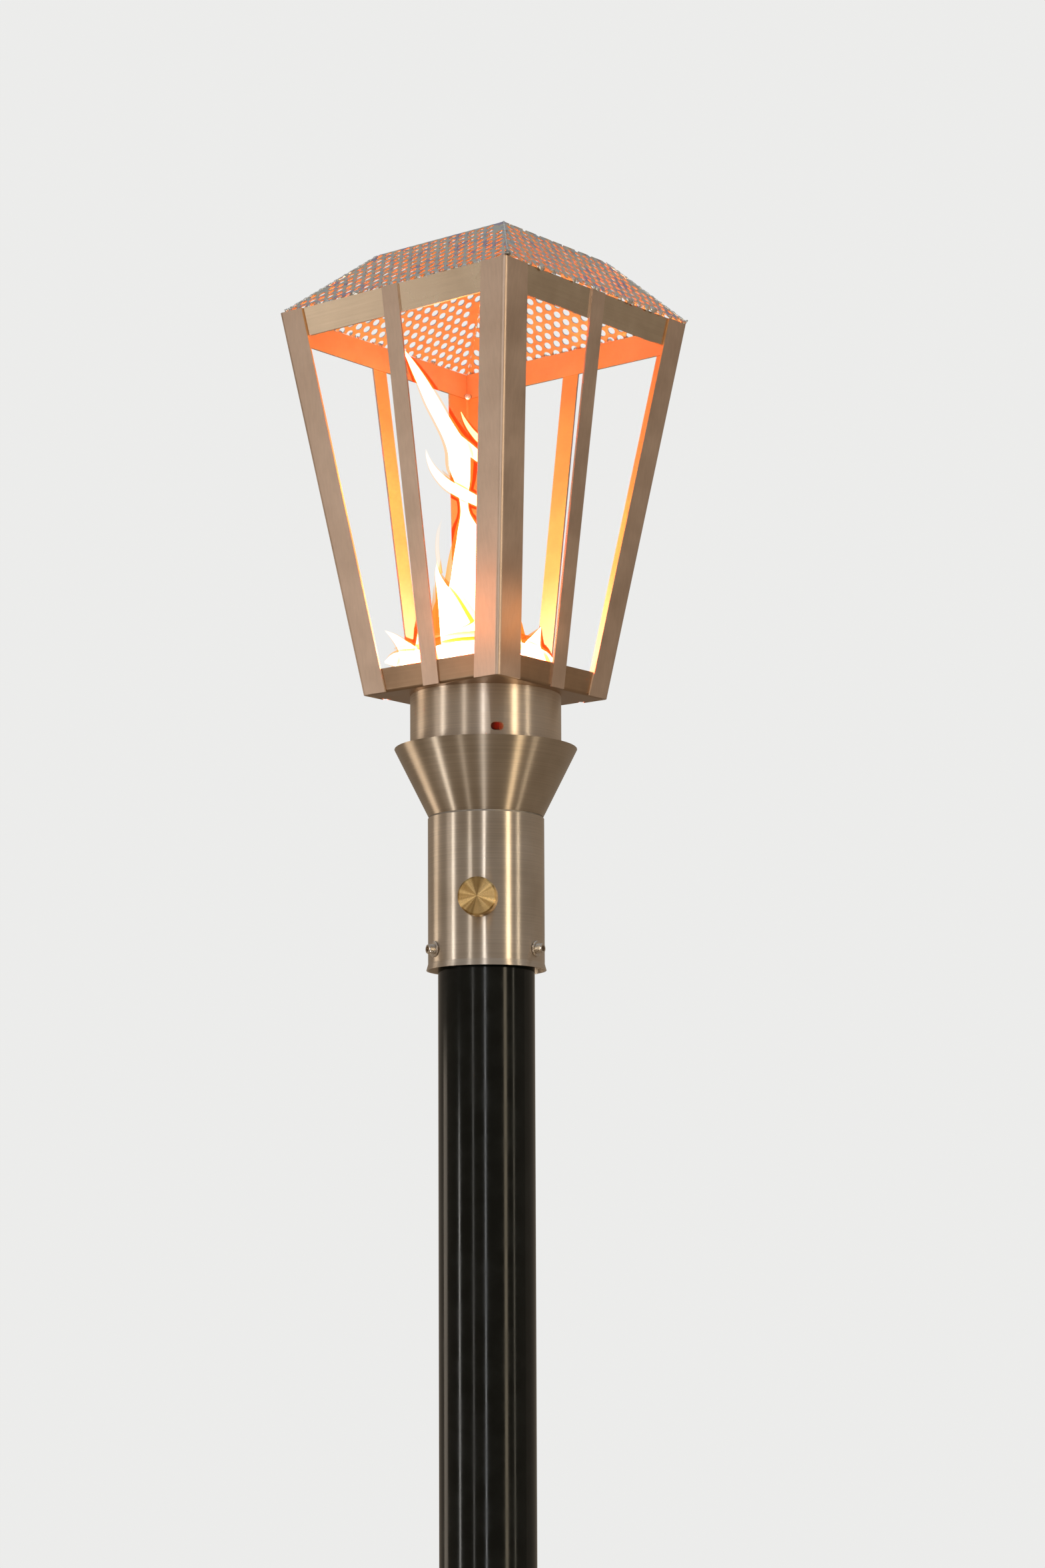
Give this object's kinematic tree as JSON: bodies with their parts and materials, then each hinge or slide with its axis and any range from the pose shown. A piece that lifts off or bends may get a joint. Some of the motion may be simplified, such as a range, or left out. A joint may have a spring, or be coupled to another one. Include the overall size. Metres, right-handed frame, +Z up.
{
  "type": "garden torch",
  "caption": "Pole-mounted gas garden torch: square tapered lantern with a perforated roof, funnel cup, sleeve with a brass gas valve knob, and a surface-mount pole.",
  "frame": {"origin": "on the ground, at the centre of the base plate's underside, under the pole's axis", "axes": "+Z up along the pole; the lantern's faces and the base plate's sides look along X and Y; the knob points 32.3 degrees from -Y towards +X"},
  "size_m": [0.2335, 0.2335, 2.4035],
  "materials": {
    "black_powder_coat": "gloss black powder coat",
    "turned_stainless": "circumferential brushing",
    "satin_stainless": "satin sheet with worn edges",
    "tray_stainless": "satin sheet, folded",
    "heat_tinted_perforated": "perforated sheet with heat tint",
    "weld_bead": "tack weld",
    "turned_brass": "radially turned face",
    "fitting_brass": "machined fitting",
    "gas_tube": "drawn tube",
    "bright_steel": "bright zinc plate",
    "plate_steel": "mill finish",
    "burner_steel": "heat-darkened"
  },
  "bodies": {
    "base": {"base_plate": "black_powder_coat", "pole": "black_powder_coat", "gas_inlet": "fitting_brass", "gas_pipe": "gas_tube", "pole_seat_ring": "plate_steel", "base_sleeve": "turned_stainless", "set_screw_inserts": "bright_steel", "set_screws": "bright_steel", "burner_plate": "plate_steel", "funnel_cup": "turned_stainless", "valve_body": "fitting_brass", "valve_plug_cap": "fitting_brass", "valve_inlet_nut": "fitting_brass", "valve_outlet_nut": "fitting_brass", "valve_washer": "bright_steel", "valve_panel_nut": "fitting_brass", "outlet_pipe": "gas_tube", "jet_holder": "fitting_brass", "holder_lock_nut": "fitting_brass", "gas_jet": "fitting_brass", "mixer_tube": "burner_steel", "burner_body": "burner_steel", "burner_cap": "burner_steel"},
    "knob_and_plug": {"valve_plug": "fitting_brass", "valve_stem": "bright_steel", "knob": "turned_brass", "knob_grub_screw": "bright_steel"},
    "lantern": {"collar": "turned_stainless", "floor_tray": "tray_stainless", "corner_post_front_right": "satin_stainless", "corner_post_back_right": "satin_stainless", "corner_post_back_left": "satin_stainless", "corner_post_front_left": "satin_stainless", "face_bar_front": "satin_stainless", "face_bar_right": "satin_stainless", "face_bar_back": "satin_stainless", "face_bar_left": "satin_stainless", "top_band_strips": "satin_stainless", "roof_slope_panels": "heat_tinted_perforated", "roof_top_panel": "heat_tinted_perforated", "roof_tack_welds": "weld_bead"}
  },
  "joints": [
    {"name": "knob_turn", "type": "hinge", "parent": "base", "child": "knob_and_plug", "pos_m": [0.02672, -0.04226, 1.882], "axis": [-0.5344, 0.8453, 0], "range_deg": [-120, 60]},
    {"name": "lantern_lift", "type": "slide", "parent": "base", "child": "lantern", "axis": [0, 0, 1], "range_m": [0, 0.12]}
  ]
}
